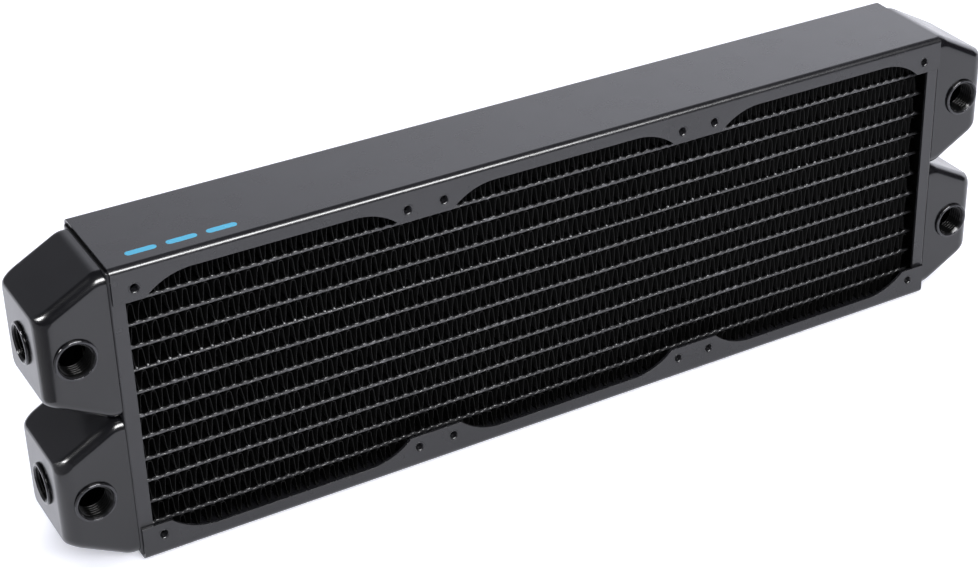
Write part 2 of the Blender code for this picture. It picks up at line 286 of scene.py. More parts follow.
class NodeTree:
    """Adds nodes to a material's or a world's tree."""

    def __init__(self, tree, place):
        self.nodes = tree.nodes
        self.links = tree.links
        self.place = self.nodes.new("ShaderNodeTexCoord").outputs[place]

    def ramp(self, value, low, high, from_value=0.0, to_value=1.0, smooth=False):
        """Map a value from low..high to from_value..to_value, clamped."""
        node = self.nodes.new("ShaderNodeMapRange")
        node.interpolation_type = "SMOOTHSTEP" if smooth else "LINEAR"
        node.inputs["From Min"].default_value = low
        node.inputs["From Max"].default_value = high
        node.inputs["To Min"].default_value = from_value
        node.inputs["To Max"].default_value = to_value
        self.links.new(value, node.inputs["Value"])
        return node.outputs["Result"]

    def math(self, operation, first, second=None):
        """One step of arithmetic on one or two values, each a number or a socket."""
        node = self.nodes.new("ShaderNodeMath")
        node.operation = operation
        for socket, value in zip(node.inputs, (first, second)):
            if isinstance(value, (int, float)):
                socket.default_value = value
            elif value is not None:
                self.links.new(value, socket)
        return node.outputs["Value"]

    def axes(self, vector=None):
        node = self.nodes.new("ShaderNodeSeparateXYZ")
        self.links.new(vector or self.place, node.inputs["Vector"])
        return node.outputs["X"], node.outputs["Y"], node.outputs["Z"]


class Shader(NodeTree):
    """Builds a material step by step."""

    def __init__(self, name):
        self.material = bpy.data.materials.new(name)
        self.material.use_nodes = True
        super().__init__(self.material.node_tree, "Object")
        self.surface = self.nodes["Principled BSDF"]

    def set(self, socket, value):
        """Give a socket of the surface a fixed value, or one that comes from another socket."""
        if isinstance(value, (int, float, tuple)):
            self.surface.inputs[socket].default_value = value
        else:
            self.links.new(value, self.surface.inputs[socket])

    def paint(self):
        """What the surface's colour comes from so far."""
        return self.surface.inputs["Base Color"].links[0].from_socket

    def noise(self, size, detail=3.0):
        """Noise whose features are about this size in metres."""
        node = self.nodes.new("ShaderNodeTexNoise")
        node.inputs["Scale"].default_value = 1.0 / size
        node.inputs["Detail"].default_value = detail
        node.inputs["Roughness"].default_value = 0.55
        self.links.new(self.place, node.inputs["Vector"])
        return node.outputs["Fac"]

    def patches(self, size, detail, low, high, from_value=0.0, to_value=1.0):
        """Patches of about this size: from_value where the noise is under low, to_value over high."""
        return self.ramp(self.noise(size, detail), low, high, from_value, to_value)

    def mix(self, factor, first, second):
        """Mix two colours, each a tuple or a socket."""
        node = self.nodes.new("ShaderNodeMix")
        node.data_type = "RGBA"
        self.links.new(factor, node.inputs["Factor"])
        for socket, value in ((node.inputs["A"], first), (node.inputs["B"], second)):
            if isinstance(value, tuple):
                socket.default_value = (*value, 1.0)
            else:
                self.links.new(value, socket)
        return node.outputs["Result"]

    def uneven_gloss(self, size, detail, least, most):
        """Roughness that changes between two values over patches of about this size."""
        self.set("Roughness", self.patches(size, detail, 0.3, 0.7, least, most))

    def set_with_painted_shade(self, socket, mask, without, within):
        """One number outside a mask and another inside it; the number outside it paints in shade."""
        self.set(socket, self.ramp(mask, 0.0, 1.0, without, within))

    def bump(self, size, detail, height, under=None):
        """Bumps of about this size and height, on top of other bumps if given."""
        node = self.nodes.new("ShaderNodeBump")
        node.inputs["Distance"].default_value = height
        self.links.new(self.noise(size, detail), node.inputs["Height"])
        if under is not None:
            self.links.new(under, node.inputs["Normal"])
        return node.outputs["Normal"]


def powder_coat(name, dark, light, roughness, grain, waviness):
    """Satin black paint with a fine grain, soft mottling and slightly uneven gloss."""
    shader = Shader(name)
    mottle = shader.patches(0.035, 4.0, 0.35, 0.68)
    shader.set("Base Color", shader.mix(mottle, dark, light))
    shader.uneven_gloss(0.012, 3.0, roughness * 0.92, roughness * 1.10)
    wave = shader.bump(0.0060, 2.0, waviness)
    shader.set("Normal", shader.bump(0.00055, 2.0, grain, wave))
    return shader


def panel_material(name, marked):
    shader = powder_coat(name, grey(0.0095, 0.0115), grey(0.0130, 0.0155), roughness=0.26,
                         grain=0.0000024, waviness=0.000003)
    if marked:
        paint_mark(shader)
    return shader.material


def paint_mark(shader):
    """Three plain blue bars printed near the front left corner, one for each fan."""
    bar_length = 0.0115
    bar_height = 0.0030
    bar_step = 0.0150
    first_bar_x = -0.1660
    bar_y = -0.0140
    soft_edge = 0.00008
    ink_depth = 0.0002
    x, y, z = shader.axes()
    along = shader.math("SUBTRACT", x, first_bar_x - bar_step / 2)
    wrapped = shader.math("PINGPONG", along, bar_step / 2)
    from_centre = shader.math("SUBTRACT", bar_step / 2, wrapped)
    past_straight = shader.math("SUBTRACT", from_centre, (bar_length - bar_height) / 2)
    outside_x = shader.math("MAXIMUM", past_straight, 0.0)
    outside_y = shader.math("SUBTRACT", y, bar_y)
    squared = shader.math("ADD", shader.math("MULTIPLY", outside_x, outside_x),
                          shader.math("MULTIPLY", outside_y, outside_y))
    distance = shader.math("SQRT", squared)
    inside = shader.ramp(distance, bar_height / 2 - soft_edge, bar_height / 2 + soft_edge, 1.0, 0.0)
    within = shader.math("MULTIPLY", shader.math("GREATER_THAN", along, 0.0),
                         shader.math("LESS_THAN", along, len(FANS) * bar_step))
    on_top = shader.math("GREATER_THAN", z, TOP - ink_depth)
    mask = shader.math("MULTIPLY", shader.math("MULTIPLY", inside, within), on_top)
    paint = shader.paint()
    ink = shader.mix(shader.noise(0.002), (0.030, 0.33, 0.55), (0.045, 0.41, 0.64))
    shader.set("Base Color", shader.mix(mask, paint, ink))


def header_material():
    """Painted outside; behind its rim, the inside of the tray is near black with little shine, which
    paints in the shade of the recess.
    """
    shader = powder_coat("header_paint", grey(0.012, 0.014), grey(0.016, 0.019), roughness=0.29,
                         grain=0.000005, waviness=0.000006)
    header_low, header_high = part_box("left_header_plate")
    shade_edge_margin = 0.0003
    x, y, _ = shader.axes()
    rim_y = header_high.y - HEADER_RIM_SHEET
    rim = shader.ramp(shader.math("ABSOLUTE", y), rim_y - shade_edge_margin, rim_y + 0.0001)
    outside = shader.math("GREATER_THAN", shader.math("ABSOLUTE", x), -header_low.x - shade_edge_margin)
    clear_of_painted_shade = shader.math("MAXIMUM", rim, outside)
    # Behind the rim the tray's inside is near black with little shine: painted shade in the recess.
    shader.set("Base Color", shader.mix(clear_of_painted_shade, grey(0.003), shader.paint()))
    shader.set_with_painted_shade("Specular IOR Level", clear_of_painted_shade, 0.05, 0.5)
    return shader.material


def tank_material():
    """Glossier paint on a drawn shell, with a soft orange peel."""
    shader = Shader("tank_paint")
    mottle = shader.patches(0.020, 3.0, 0.35, 0.68)
    shader.set("Base Color", shader.mix(mottle, grey(0.0046, 0.0058), grey(0.0066, 0.0082)))
    shader.uneven_gloss(0.009, 3.0, 0.17, 0.22)
    peel = shader.bump(0.0028, 2.0, height=0.000006)
    shader.set("Normal", shader.bump(0.0006, 2.0, height=0.0000014, under=peel))
    return shader.material


def port_material():
    """Black-plated brass, dark and glossy; below the face, the bore and its thread are near black, with
    little shine and no metal, which paints in the shade inside the bore.
    """
    shader = Shader("port_plating")
    mottle = shader.patches(0.004, 3.0, 0.35, 0.65)
    plating = shader.mix(mottle, grey(0.022, 0.025), grey(0.040, 0.044))
    height = shader.axes()[2]
    unshaded_above = -0.0002
    shaded_below = -0.0009
    # Below the face the bore is near black, without metal and with little shine: painted shade.
    outside = shader.ramp(height, shaded_below, unshaded_above)
    shader.set("Base Color", shader.mix(outside, grey(0.004), plating))
    shader.set_with_painted_shade("Metallic", outside, 0.0, 0.5)
    shader.set_with_painted_shade("Specular IOR Level", outside, 0.14, 0.7)
    shader.uneven_gloss(0.0015, 2.0, 0.10, 0.18)
    shader.set("Normal", shader.bump(0.0009, 2.0, height=0.000003))
    return shader.material


def tube_material(number):
    """Painted along the rounded edge; the flat faces behind it and the ends beside the header plates are
    near black with little shine, which paints in the shade deep in the core. Solder shows through the
    paint in worn spots.
    """
    _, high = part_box(f"flat_tube_{number:02d}")
    shader = Shader(f"tube_paint_{number:02d}")
    x, y, z = shader.axes()
    shade_start_y = high.y - TUBE_UNSHADED_NOSE
    shade_start_x = INNER_FIN_END - 0.0010
    nose = shader.ramp(shader.math("ABSOLUTE", y), shade_start_y - 0.0002, shade_start_y)
    fins = shader.ramp(shader.math("ABSOLUTE", x), shade_start_x - 0.0020, shade_start_x, 1.0, 0.0)
    # Away from the nose and near the header plates the tube is near black with little shine: painted
    # shade.
    clear_of_painted_shade = shader.math("MULTIPLY", nose, fins)
    worn = shader.patches(0.0022, 3.0, 0.56, 0.70)
    where_worn = shader.patches(0.018, 2.0, 0.45, 0.62)
    bare = shader.math("MULTIPLY", worn, where_worn)
    paint = shader.mix(shader.noise(0.006), grey(0.024, 0.026), grey(0.042, 0.045))
    edge = shader.mix(bare, paint, grey(0.13, 0.14))
    if number == BEADED_TUBE:
        drop_foot = high.z + 0.00005
        # Tube 8's drops are light grey: a painted highlight standing in for their glints.
        solder = shader.ramp(z, drop_foot, drop_foot + 0.00015)
        edge = shader.mix(solder, edge, grey(0.30, 0.31))
    shader.set("Base Color", shader.mix(clear_of_painted_shade, grey(0.0025), edge))
    shader.set_with_painted_shade("Specular IOR Level", clear_of_painted_shade, 0.03, 0.5)
    shader.uneven_gloss(0.0010, 2.0, 0.24, 0.40)
    shader.set("Normal", shader.bump(0.0007, 3.0, height=0.00003))
    return shader.material


def fin_material():
    """Matte black fin strip; the paint has drawn back from the cut edges, which look greyer."""
    shader = Shader("fin_paint")
    geometry = shader.nodes.new("ShaderNodeNewGeometry")
    across = shader.axes(geometry.outputs["Normal"])[1]
    edge = shader.ramp(shader.math("ABSOLUTE", across), 0.55, 0.9)
    uneven = shader.patches(0.004, 3.0, 0.35, 0.70, 0.35, 1.0)
    face = shader.mix(shader.noise(0.008), grey(0.010), grey(0.017))
    rim = shader.mix(uneven, grey(0.009), grey(0.020, 0.021))
    shader.set("Base Color", shader.mix(edge, face, rim))
    shader.set("Specular IOR Level", 0.05)
    shader.uneven_gloss(0.003, 3.0, 0.48, 0.66)
    shader.set("Normal", shader.bump(0.0008, 2.0, height=0.00002))
    return shader.material


def card_material():
    """Near black, but glowing dimly, more towards the end beside the tanks."""
    shader = Shader("grey_card")
    shader.set("Base Color", shader.mix(shader.noise(0.004), grey(0.001), grey(0.003)))
    shader.set("Roughness", 0.9)
    shader.set("Specular IOR Level", 0.0)
    y = shader.axes()[1]
    shader.set("Emission Color", (0.96, 0.96, 1.0, 1.0))
    shader.set("Emission Strength", shader.ramp(y, -0.08, CARD_HIGH[1], 0.34, 0.80))
    return shader.material


def floor_material():
    """A white light table: it glows a little, so shadows on it stay pale."""
    shader = Shader("pale_floor")
    tone = shader.noise(0.6, 2.0)
    shader.set("Base Color", shader.mix(tone, (0.86, 0.865, 0.92), (0.88, 0.885, 0.94)))
    shader.set("Roughness", 0.65)
    shader.set("Specular IOR Level", 0.2)
    shader.set("Emission Color", (0.96, 0.97, 1.05, 1.0))
    shader.set("Emission Strength", FLOOR_GLOW)
    return shader.material


# ---------------------------------------------------------------- side panels
def panel_section():
    """The folded sheet's section in (y, distance from mid-height)."""
    half = HALF_DEPTH
    tab_edge = MIDDLE - FLANGE_TAB
    fold_y = half - FOLD_RADIUS
    fold_z = MIDDLE - FOLD_RADIUS
    inner = FOLD_RADIUS - SHEET
    steps = 14
    outline = [(-half, tab_edge)]
    outline += arc((-fold_y, fold_z), FOLD_RADIUS, 180, 90, steps)
    outline += arc((fold_y, fold_z), FOLD_RADIUS, 90, 0, steps)
    outline += [(half, tab_edge), (half - SHEET, tab_edge)]
    outline += arc((fold_y, fold_z), inner, 0, 90, steps)
    outline += arc((-fold_y, fold_z), inner, 90, 180, steps)
    outline += [(-half + SHEET, tab_edge)]
    return outline


def opening_outline(centre_x):
    """One fan opening's part in a flange, in (x, distance from mid-height)."""
    strip_edge = MIDDLE - FLANGE_STRIP
    tab_edge = MIDDLE - FLANGE_TAB
    corner_z = strip_edge - OPENING_CORNER_RADIUS
    half_width = SCREW_SPACING / 2 - TAB_PAST_SCREW
    rise = tab_edge - corner_z
    reach = math.sqrt(OPENING_CORNER_RADIUS ** 2 - rise ** 2)
    corner_x = half_width - reach
    edge_angle = math.degrees(math.atan2(rise, reach))
    below = tab_edge - FLANGE_STRIP
    steps = 28
    outline = [(half_width, below)]
    outline += arc((corner_x, corner_z), OPENING_CORNER_RADIUS, edge_angle, 90, steps)
    outline += arc((-corner_x, corner_z), OPENING_CORNER_RADIUS, 90, 180 - edge_angle, steps)
    outline += [(-half_width, below)]
    return [(centre_x + x, z) for x, z in outline]


def screw_places():
    """Where the screws are along a flange."""
    for fan in FANS:
        for end in (-1, 1):
            yield fan * FAN_PITCH + end * SCREW_SPACING / 2


def tapped_hole(centre, outward_y):
    """A pressed and tapped rim in a flange: rounded at the face, threaded inside."""
    around = 40
    rounding_steps = 8
    thread_steps = 36
    run_in_steps = 6              # the thread rises to its full height over these
    turns = np.linspace(0, 2 * math.pi, around, endpoint=False)
    rows = []                     # (radius, depth below the face) at each angle

    def add(radius, depth):
        rows.append((np.broadcast_to(radius, around), np.full(around, depth)))

    for step in range(rounding_steps + 1):
        angle = math.pi / 2 * step / rounding_steps
        radius = SCREW_RIM_RADIUS - (SCREW_RIM_RADIUS - SCREW_HOLE_RADIUS) * math.sin(angle)
        add(radius, SCREW_RIM_DEPTH * (1 - math.cos(angle)))
    for step in range(1, thread_steps + 1):
        depth = SCREW_RIM_DEPTH + (SCREW_RIM_LENGTH - SCREW_RIM_DEPTH) * step / thread_steps
        phase = (depth / SCREW_THREAD_PITCH - turns / (2 * math.pi)) * 2 * math.pi
        ridge = SCREW_THREAD_HEIGHT * (0.5 + 0.5 * np.cos(phase)) * min(1.0, step / run_in_steps)
        add(SCREW_HOLE_RADIUS - ridge, depth)
    add(SCREW_RIM_RADIUS - SCREW_RIM_CHAMFER, SCREW_RIM_LENGTH)
    add(SCREW_RIM_RADIUS, SCREW_RIM_LENGTH - SCREW_RIM_CHAMFER)
    grid = np.empty((len(rows), around, 3))
    for row, (radius, depth) in enumerate(rows):
        grid[row, :, 0] = centre[0] + radius * np.cos(turns)
        grid[row, :, 1] = centre[1] - outward_y * depth
        grid[row, :, 2] = centre[2] + radius * np.sin(turns)
    rim = closed_grid("rim", grid)
    rim.data.shade_smooth()
    return rim


def side_panel(node, side, material):
    def along_x(y, z, x):
        return (x, y, MIDDLE + side * z)

    def along_y(x, z, y):
        return (x, y, MIDDLE + side * z)

    folded = prism(panel_section(), -HALF_LENGTH, HALF_LENGTH, along_x)
    panel = make_object(node + "_sheet", folded, material)
    past_face = HALF_DEPTH + SHEET
    cutters = []
    for fan in FANS:
        opening = opening_outline(fan * FAN_PITCH)
        cutters.append(make_object("opening", prism(opening, -past_face, past_face, along_y)))
    for x in screw_places():
        hole = arc((x, SCREW_SPACING / 2), SCREW_RIM_RADIUS, 0, 360, 40)[:-1]
        cutters.append(make_object("hole", prism(hole, -past_face, past_face, along_y)))
    cut_away(panel, cutters)
    round_edges(panel, SHEET_EDGE)
    rims = []
    for x in screw_places():
        for face in (-1, 1):
            centre = (x, face * HALF_DEPTH, MIDDLE + side * SCREW_SPACING / 2)
            rims.append(tapped_hole(centre, face))
    join_shapes(panel, rims)
    finish_piece(panel, "panel", node)


# ---------------------------------------------------------------- header plates
def tube_slot(number, start_x, end_x):
    """A cutter for the slot that a tube goes through."""
    low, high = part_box(f"flat_tube_{number:02d}")
    half = (high.z - low.z) / 2 + GAP / 2
    centre_z = (high.z + low.z) / 2
    straight = high.y - half + GAP / 2
    outline = arc((straight, centre_z), half, -90, 90, 8) + arc((-straight, centre_z), half, 90, 270, 8)
    return make_object("slot", prism(outline, start_x, end_x, lambda y, z, x: (x, y, z)))


def header_plate(node, side, material):
    """A tray that is open towards the core, with a slot for each tube."""
    low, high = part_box(node)
    inner_x = high.x if side < 0 else low.x
    outer_x = low.x if side < 0 else high.x
    bm = bmesh.new()
    add_box(bm, low, high)
    bent = [edge for edge in bm.edges
            if all(abs(vert.co.x - outer_x) < TOUCHING for vert in edge.verts)]
    lengthwise = [edge for edge in bm.edges
                  if abs(edge.verts[0].co.x - edge.verts[1].co.x) > TOUCHING]
    bmesh.ops.bevel(bm, geom=bent + lengthwise, offset=HEADER_BEND_RADIUS, segments=8, profile=0.5,
                    affect="EDGES")
    tray = make_object(node + "_tray", outward(bm), material)

    pocket = bmesh.new()
    rim = HEADER_RIM_SHEET
    start_x, end_x = sorted((inner_x - side * SHEET, outer_x - side * HEADER_SHEET))
    add_box(pocket, (start_x, low.y + rim, low.z + rim), (end_x, high.y - rim, high.z - rim))
    slot_start = outer_x - side * 0.004
    slot_end = outer_x + side * 0.002
    slots = [tube_slot(number, slot_start, slot_end) for number in range(1, TUBE_COUNT + 1)]
    cut_away(tray, [make_object("pocket", outward(pocket))] + slots)
    round_edges(tray, HEADER_EDGE)
    finish_piece(tray, "header", node)


# ---------------------------------------------------------------- end tanks
class TankOutline:
    """Half height of a tank along x: level at its collar, then sloping, then a rounded end edge."""

    def __init__(self, start_x, end_x, half_depth, half_height):
        self.start_x = start_x
        self.end_x = end_x
        self.half_depth = half_depth
        self.half_height = half_height
        self.slope_x = start_x + TANK_COLLAR
        self.slope = (half_height - TANK_HALF_AT_END) / (end_x - self.slope_x)

    def straight(self, x):
        """Half height with a sharp bend and a sharp end edge."""
        return self.half_height - max(0.0, x - self.slope_x) * self.slope

    def softened(self, x):
        """The same with its bend softened and its end edge rounded."""
        bend = TANK_COLLAR_SOFTENING
        past = x - (self.slope_x - bend)
        if past <= 0:
            height = self.half_height
        elif past < 2 * bend:
            height = self.half_height - self.slope * past * past / (4 * bend)
        else:
            height = self.straight(x)
        centre_x = self.end_x - TANK_END_EDGE
        centre_height = self.straight(centre_x) - TANK_END_EDGE * math.hypot(1, self.slope)
        tangent_x = centre_x + TANK_END_EDGE * math.sin(math.atan(self.slope))
        if x > tangent_x:
            along = min(x - centre_x, TANK_END_EDGE)
            height = centre_height + math.sqrt(TANK_END_EDGE ** 2 - along ** 2)
        return height


def loft(rings):
    """Close a body round rings of points, the first and the last one included."""
    bm = bmesh.new()
    placed = [[bm.verts.new(point) for point in ring] for ring in rings]
    for ring, after in zip(placed, placed[1:]):
        for index in range(len(ring)):
            other = (index + 1) % len(ring)
            bm.faces.new((ring[index], ring[other], after[other], after[index]))
    bm.faces.new(placed[0])
    bm.faces.new(placed[-1])
    bmesh.ops.remove_doubles(bm, verts=bm.verts, dist=1e-7)
    return outward(bm)


def tank_outside(outline, side, centre_z):
    """Long edges and upright end edges are rounded; the long edges' radius shrinks into the corners."""
    bend_steps = 8
    end_steps = 26
    corner_steps = 14
    sections = [(outline.start_x - TANK_REACH, outline.half_depth, TANK_FILLET)]
    for step in range(bend_steps + 1):
        x = outline.slope_x + TANK_COLLAR_SOFTENING * (2 * step / bend_steps - 1)
        sections.append((x, outline.half_depth, TANK_FILLET))
    for step in range(end_steps + 1):
        angle = math.pi / 2 * step / end_steps
        x = outline.end_x - TANK_UPRIGHT_EDGE * (1 - math.sin(angle))
        depth = outline.half_depth - TANK_UPRIGHT_EDGE * (1 - math.cos(angle))
        corner = TANK_CORNER_AT_END + (TANK_FILLET - TANK_CORNER_AT_END) * math.cos(angle)
        sections.append((x, depth, corner))
    rings = []
    for x, depth, corner in sections:
        middle_y = depth - corner
        middle_z = outline.softened(x) - corner
        ring = []
        for y_side, z_side, quarter in ((1, 1, 0), (-1, 1, 1), (-1, -1, 2), (1, -1, 3)):
            for step in range(corner_steps + 1):
                turn = math.pi / 2 * (quarter + step / corner_steps)
                ring.append((side * x, y_side * middle_y + corner * math.cos(turn),
                             centre_z + z_side * middle_z + corner * math.sin(turn)))
        rings.append(ring)
    return loft(rings)


def tank_inside(outline, side, centre_z):
    """The chamber, with flat walls and open towards the header plate."""
    inset = TANK_WALL * math.hypot(1, outline.slope)
    depth = outline.half_depth - TANK_WALL
    rings = []
    for x in (outline.start_x - SHEET, outline.slope_x, outline.end_x - TANK_WALL):
        height = outline.straight(x) - inset
        rings.append([(side * x, y, centre_z + z) for y, z in
                      ((depth, height), (-depth, height), (-depth, -height), (depth, -height))])
    return loft(rings)


def end_tank(node, side, material):
    low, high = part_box(node)
    start_x, end_x = sorted((abs(low.x), abs(high.x)))
    outline = TankOutline(start_x, end_x, high.y, (high.z - low.z) / 2)
    centre_z = (high.z + low.z) / 2
    tank = make_object(node + "_shell", tank_outside(outline, side, centre_z), material)
    cutters = [make_object("inside", tank_inside(outline, side, centre_z))]
    drill_radius = PORT_NECK_RADIUS + GAP / 2
    for kind in PORT_KINDS:
        hole = bmesh.new()
        bmesh.ops.create_cone(hole, cap_ends=True, segments=64, radius1=drill_radius,
                              radius2=drill_radius, depth=DRILL_LENGTH)
        cutter = make_object("drill", hole)
        cutter.location, cutter.rotation_euler = port_face(node.replace("tank", kind), kind, side)
        cutters.append(cutter)
    cut_away(tank, cutters)
    shade_smooth(tank, sharp_degrees=32)
    keep_flats_flat(tank)
    finish_piece(tank, "tank", node)


# ---------------------------------------------------------------- ports
def port_face(node, kind, side):
    """The middle of a bush's lip face, and the turn that points local +Z out of the tank."""
    low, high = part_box(node)
    centre = (low + high) / 2
    quarter = math.pi / 2
    if kind == "front_port":
        return Vector((centre.x, low.y, centre.z)), (quarter, 0, 0)
    if kind == "rear_port":
        return Vector((centre.x, high.y, centre.z)), (-quarter, 0, 0)
    return Vector((high.x if side > 0 else low.x, 0, centre.z)), (0, side * quarter, 0)


def thread_radius(depth, turns):
    """Radius of the helical thread at a depth below the face and at angles around the bore."""
    flank = 0.34                  # a flank's width, as a share of the pitch
    crest = 0.22                  # half a crest's width, as a share of a flank's
    phase = np.mod(depth / THREAD_PITCH - turns / (2 * math.pi), 1.0)
    rise = np.clip((0.5 - np.abs(phase - 0.5)) / flank - crest, 0.0, 1.0)
    blend = rise * rise * (3 - 2 * rise)
    return THREAD_CREST_RADIUS + (THREAD_ROOT_RADIUS - THREAD_CREST_RADIUS) * blend


def port_bush(node, kind, side, material):
    """A bush with a rounded lip, a bevelled mouth and a real helical thread."""
    around = 72
    lip_steps = 6
    mouth_steps = 4
    thread_steps = 84
    mouth_slope = 0.9             # how fast the bevel behind the mouth narrows
    low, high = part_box(node)
    size = high - low
    length = size.y if kind != "end_port" else size.x
    lip_radius = size.x / 2 if kind != "end_port" else size.z / 2
    lip_back = length_of_lip(node, kind)
    turns = np.linspace(0, 2 * math.pi, around, endpoint=False)
    rows = []

    def add(radius, depth):
        rows.append((np.broadcast_to(radius, around), np.full(around, -depth)))

    add(PORT_NECK_RADIUS, length)
    add(PORT_NECK_RADIUS, lip_back)
    add(lip_radius, lip_back)
    for step in range(lip_steps + 1):
        angle = math.pi / 2 * step / lip_steps
        add(lip_radius - PORT_LIP_ROUNDING * (1 - math.cos(angle)),
            PORT_LIP_ROUNDING * (1 - math.sin(angle)))
    mouth = PORT_MOUTH_ROUNDING
    for step in range(mouth_steps + 1):
        angle = math.pi / 2 * step / mouth_steps
        add(PORT_MOUTH_RADIUS + mouth * (1 - math.sin(angle)), mouth * (1 - math.cos(angle)))
    for step in range(1, thread_steps + 1):
        depth = mouth + (length - mouth) * step / thread_steps
        bevel = PORT_MOUTH_RADIUS - (depth - mouth) * mouth_slope
        add(np.maximum(thread_radius(depth, turns), bevel), depth)
    points = np.empty((len(rows), around, 3))
    for index, (radius, height) in enumerate(rows):
        points[index, :, 0] = radius * np.cos(turns)
        points[index, :, 1] = radius * np.sin(turns)
        points[index, :, 2] = height
    bush = closed_grid(node + "_bush", points, material, sharp_degrees=SHARP_DEGREES)
    bush.location, bush.rotation_euler = port_face(node, kind, side)
    finish_piece(bush, "port", node)


def length_of_lip(node, kind):
    """How far behind its face a bush's lip ends: just clear of the tank's face."""
    bush_low, bush_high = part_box(node)
    tank_low, tank_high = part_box(node.replace(kind, "tank"))
    if kind == "front_port":
        return tank_low.y - bush_low.y - GAP / 3
    if kind == "rear_port":
        return bush_high.y - tank_high.y - GAP / 3
    return max(bush_high.x - tank_high.x, tank_low.x - bush_low.x) - GAP / 3


# ---------------------------------------------------------------- the core
def fin_end(row):
    """The outermost strips stop short of the header plates' rims; the others reach the plates."""
    return fin_high.x if row in (1, FIN_ROW_COUNT) else INNER_FIN_END


def fin_turns(row):
    """Where one fin strip turns: (x, +1 at the top or -1 at the bottom), with small irregularities."""
    chance = random.Random(1000 + row)
    half_pitch = FIN_PITCH / 2
    end = fin_end(row) - FIN_END_ROOM
    start = -end + chance.uniform(0, half_pitch / 2)
    up = chance.choice((-1, 1))
    turns = []
    drift = 0.0
    for index in range(int((end - start) / half_pitch)):
        drift = 0.85 * drift + chance.gauss(0, FIN_DRIFT)
        x = start + index * half_pitch + drift + chance.gauss(0, FIN_JITTER)
        turns.append((x, up))
        up = -up
    return turns


def fin_line(row, bottom, top):
    """The middle of a fin strip in (x, z): narrow arches, standing on narrower feet."""
    chance = random.Random(2000 + row)
    radii = {1: FIN_ARCH_RADIUS, -1: FIN_FOOT_RADIUS}
    levels = {1: top, -1: bottom}
    arch_steps = 8
    turns = fin_turns(row)
    line = []
    for index, (x, up) in enumerate(turns):
        radius = radii[up] * chance.uniform(0.90, 1.08)
        give = chance.uniform(0.0, FIN_GIVE)
        lean = chance.gauss(0, FIN_LEAN)
        centre_z = levels[up] - up * (radius + give)
        for step in range(arch_steps + 1):
            angle = math.pi * (1 - step / arch_steps)
            line.append((x + radius * math.cos(angle) + lean * math.sin(angle),
                         centre_z + up * radius * math.sin(angle)))
        if index + 1 < len(turns):
            next_x, next_up = turns[index + 1]
            from_x, from_z = line[-1]
            to_x = next_x - radii[next_up]
            to_z = levels[next_up] - next_up * radii[next_up]
            bow = chance.gauss(0, FIN_BOW)
            for share in (0.25, 0.5, 0.75):
                line.append((from_x + (to_x - from_x) * share + bow * math.sin(math.pi * share),
                             from_z + (to_z - from_z) * share))
    return np.array(line)


def fin_strip(row, material):
    """One corrugated strip, soldered in between two tubes or a tube and a side panel."""
    node = f"fin_row_{row:02d}"
    low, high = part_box(node)
    half = FIN_SHEET / 2
    reach = GAP / 2               # the strip touches the tubes above and below it
    line = fin_line(row, low.z - reach + half, high.z + reach - half)
    direction = np.gradient(line, axis=0)
    direction /= np.linalg.norm(direction, axis=1)[:, None]
    normal = np.stack([-direction[:, 1], direction[:, 0]], axis=1) * half
    ys = [FIN_HALF_DEPTH * share for share in (-1.0, -0.5, 0.0, 0.5, 1.0)]
    section = [(y, 1) for y in ys] + [(y, -1) for y in reversed(ys)]
    points = np.empty((len(line), len(section), 3))
    for column, (y, sign) in enumerate(section):
        points[:, column, 0] = line[:, 0] + sign * normal[:, 0]
        points[:, column, 1] = y
        points[:, column, 2] = np.clip(line[:, 1] + sign * normal[:, 1], low.z - reach, high.z + reach)
    strip = closed_grid(node + "_strip", points, material, wrap_u=False, sharp_degrees=45)
    finish_piece(strip, "fin", node)


def bead_profile(xs, turns, up, chance, size, drops):
    """Height of the solder along a tube: a wedge or a drop where each turn of a strip touches it."""
    drop_half_width = 0.00055
    steep_side = 0.00100
    shallow_side = 0.00135
    height = np.zeros_like(xs)
    for x, direction in turns:
        if direction != up:
            continue
        peak = size * chance.uniform(0.65, 1.0)
        if drops:
            width = drop_half_width * chance.uniform(0.85, 1.2)
            shape = np.clip(1 - ((xs - x) / width) ** 2, 0, 1) ** 0.5
        else:
            steep = steep_side * chance.uniform(0.8, 1.3)
            shallow = shallow_side * chance.uniform(0.8, 1.2)
            from_peak = xs - x
            width = np.where(from_peak < 0, steep, shallow)
            shape = np.exp(-(np.abs(from_peak) / width) ** 3.0)
        height = np.maximum(height, peak * shape)
    return height


def ripple(xs, chance, height, length):
    """A gentle wave of this height and length, starting anywhere."""
    return height * np.sin(xs * 2 * math.pi / length + chance.uniform(0, 6))


def tube_section(half, half_depth):
    """(y and z outside, y and z inside, how far sideways and upwards it faces) round a flat tube."""
    nose_steps = 10
    radius = half * TUBE_NOSE_SHARE
    straight = half_depth - radius
    shoulder = half_depth - TUBE_SHOULDER

    def at_shoulder(edge, rise):
        return (edge * shoulder, rise * half, edge * shoulder, rise * (half - TUBE_WALL), 0, 0)

    section = []
    for edge in (1, -1):
        section.append(at_shoulder(edge, -edge))
        for degrees in np.linspace(-90 * edge, -90 * edge + 180, nose_steps + 1):
            across = math.cos(math.radians(degrees))
            rise = math.sin(math.radians(degrees))
            section.append((edge * straight + across * radius, rise * radius,
                            edge * straight + across * (radius - TUBE_WALL), rise * (radius - TUBE_WALL),
                            across, rise))
        section.append(at_shoulder(edge, edge))
    return section


